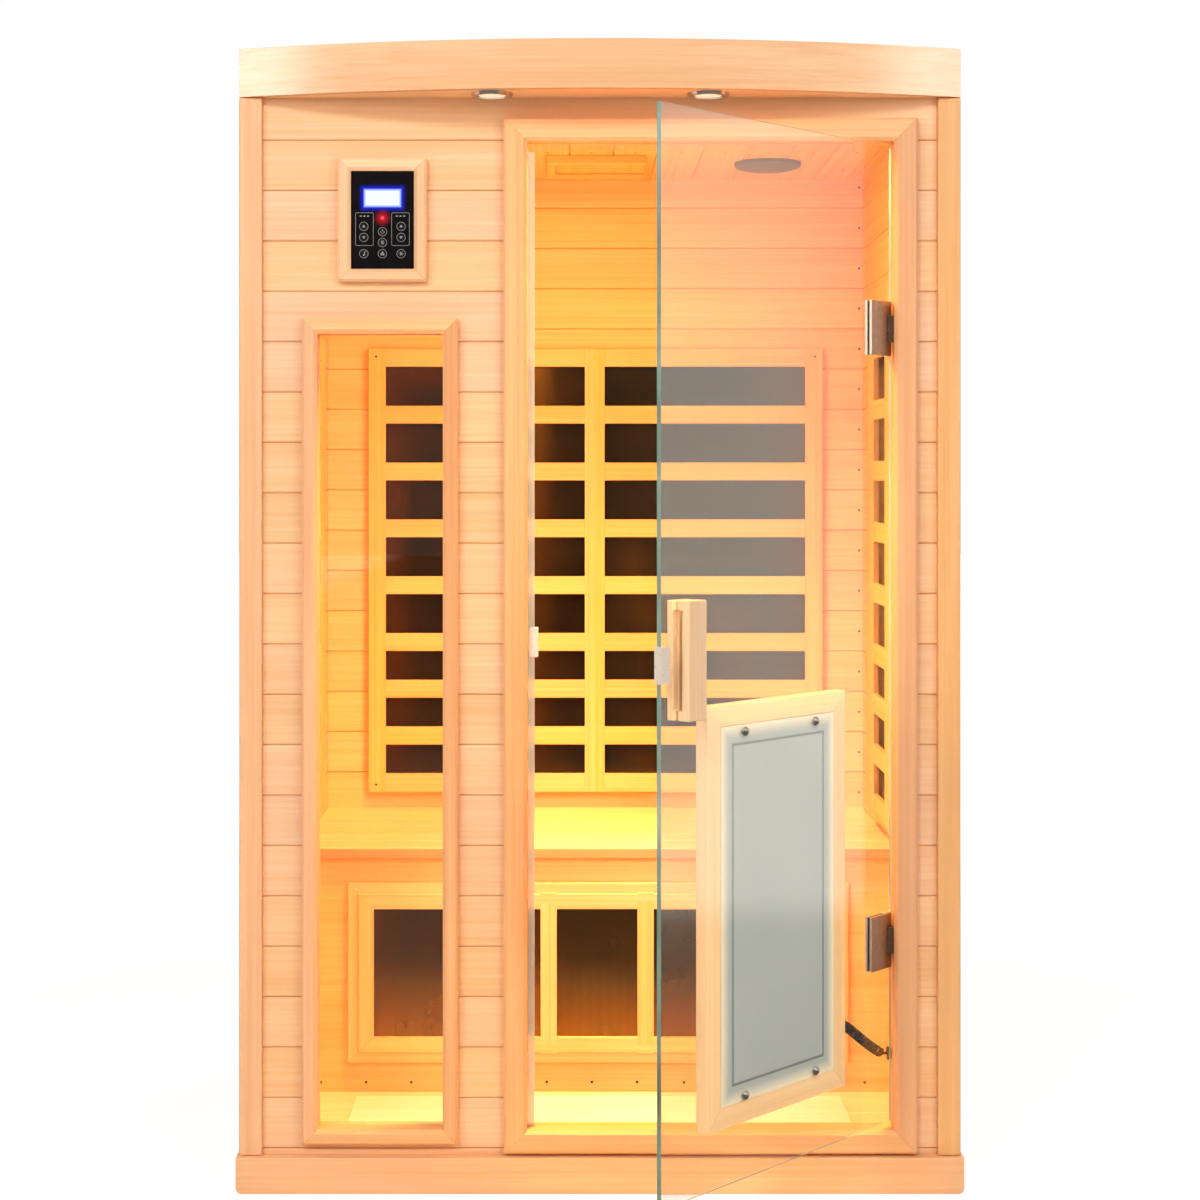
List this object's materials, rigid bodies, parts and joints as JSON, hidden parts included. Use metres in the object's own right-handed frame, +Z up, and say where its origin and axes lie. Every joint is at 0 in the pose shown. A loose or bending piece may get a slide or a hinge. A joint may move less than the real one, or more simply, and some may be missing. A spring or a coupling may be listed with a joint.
{
  "type": "infrared sauna cabin",
  "caption": "Boarded timber infrared sauna cabin with bowed roof, fixed window, hinged glass door with its own heater, control panel, bench and slatted heater guards.",
  "frame": {"origin": "middle of the cabin's footprint, without the roof's bow and the open door, on the underside of the plinth", "axes": "-Y out of the front, +X to the right seen from the front, +Z up"},
  "size_m": [1.208, 1.3931, 1.9],
  "materials": {
    "hemlock": "clear satin",
    "inner_hemlock": "clear satin",
    "carbon_heater": "smooth film",
    "satin_steel": "satin nickel",
    "key_plastic": "satin",
    "door_glass": "clear tempered",
    "window_glass": "clear tempered",
    "heater_grey": "satin",
    "panel_black": "gloss",
    "clear_seal": "translucent",
    "white_plastic": "gloss",
    "lamp_diffuser": "opal",
    "speaker_grey": "matt",
    "downlight_chrome": "polished",
    "black_rubber": "matt",
    "box_metal": "satin"
  },
  "bodies": {
    "cabin": {"base_frame": "hemlock", "floor_deck": "inner_hemlock", "floor_heater": "inner_hemlock", "post_left": "hemlock", "post_right": "hemlock", "front_wall": "hemlock", "left_wall": "hemlock", "right_wall": "hemlock", "back_wall": "hemlock", "roof_frame": "hemlock", "roof_soffit": "hemlock", "roof_cover": "hemlock", "ceiling_panel": "inner_hemlock", "power_box": "box_metal", "ceiling_lamp": "lamp_diffuser", "speaker": "speaker_grey", "vent_frame": "inner_hemlock", "downlight_left": "downlight_chrome", "downlight_right": "downlight_chrome", "control_frame": "hemlock", "control_panel": "panel_black", "window_trim": "hemlock", "window_glass": "window_glass", "door_trim": "hemlock", "door_seal": "clear_seal", "magnet_catch": "white_plastic", "hinge_bracket_upper": "satin_steel", "hinge_bracket_lower": "satin_steel", "cord_gland": "black_rubber", "door_cord": "black_rubber", "bench_top": "inner_hemlock", "bench_panel": "inner_hemlock", "calf_guard": "inner_hemlock", "calf_heater": "carbon_heater", "back_guard": "inner_hemlock", "back_heater": "carbon_heater", "left_guard": "inner_hemlock", "left_heater": "carbon_heater", "right_guard": "inner_hemlock", "right_heater": "carbon_heater"},
    "door": {"door_glass": "door_glass", "hinge_clamp_upper": "satin_steel", "hinge_pin_upper": "satin_steel", "hinge_clamp_lower": "satin_steel", "hinge_pin_lower": "satin_steel", "handle_outer": "hemlock", "handle_inner": "hemlock", "strike_clip": "clear_seal", "door_heater_frame": "inner_hemlock", "door_heater_panel": "heater_grey"},
    "vent_slider": {"vent_slider": "inner_hemlock"},
    "key_heat_up": {"key_heat_up": "key_plastic"},
    "key_heat_down": {"key_heat_down": "key_plastic"},
    "key_time_up": {"key_time_up": "key_plastic"},
    "key_time_down": {"key_time_down": "key_plastic"},
    "key_power": {"key_power": "key_plastic"},
    "key_mode": {"key_mode": "key_plastic"},
    "key_sound": {"key_sound": "key_plastic"},
    "key_colour": {"key_colour": "key_plastic"},
    "key_light": {"key_light": "key_plastic"}
  },
  "joints": [
    {"name": "door_hinge", "type": "hinge", "parent": "cabin", "child": "door", "pos_m": [0.479, -0.465, 0], "axis": [0, 0, 1], "range_deg": [-48, 42], "deforming": ["door_cord"]},
    {"name": "vent_slide", "type": "slide", "parent": "cabin", "child": "vent_slider", "axis": [1, 0, 0], "range_m": [0, 0.1]},
    {"name": "key_heat_up_press", "type": "slide", "parent": "cabin", "child": "key_heat_up", "axis": [0, 1, 0], "range_m": [0, 0.0008], "stiffness_N_per_m": 1500},
    {"name": "key_heat_down_press", "type": "slide", "parent": "cabin", "child": "key_heat_down", "axis": [0, 1, 0], "range_m": [0, 0.0008], "stiffness_N_per_m": 1500},
    {"name": "key_time_up_press", "type": "slide", "parent": "cabin", "child": "key_time_up", "axis": [0, 1, 0], "range_m": [0, 0.0008], "stiffness_N_per_m": 1500},
    {"name": "key_time_down_press", "type": "slide", "parent": "cabin", "child": "key_time_down", "axis": [0, 1, 0], "range_m": [0, 0.0008], "stiffness_N_per_m": 1500},
    {"name": "key_power_press", "type": "slide", "parent": "cabin", "child": "key_power", "axis": [0, 1, 0], "range_m": [0, 0.0008], "stiffness_N_per_m": 1500},
    {"name": "key_mode_press", "type": "slide", "parent": "cabin", "child": "key_mode", "axis": [0, 1, 0], "range_m": [0, 0.0008], "stiffness_N_per_m": 1500},
    {"name": "key_sound_press", "type": "slide", "parent": "cabin", "child": "key_sound", "axis": [0, 1, 0], "range_m": [0, 0.0008], "stiffness_N_per_m": 1500},
    {"name": "key_colour_press", "type": "slide", "parent": "cabin", "child": "key_colour", "axis": [0, 1, 0], "range_m": [0, 0.0008], "stiffness_N_per_m": 1500},
    {"name": "key_light_press", "type": "slide", "parent": "cabin", "child": "key_light", "axis": [0, 1, 0], "range_m": [0, 0.0008], "stiffness_N_per_m": 1500}
  ]
}
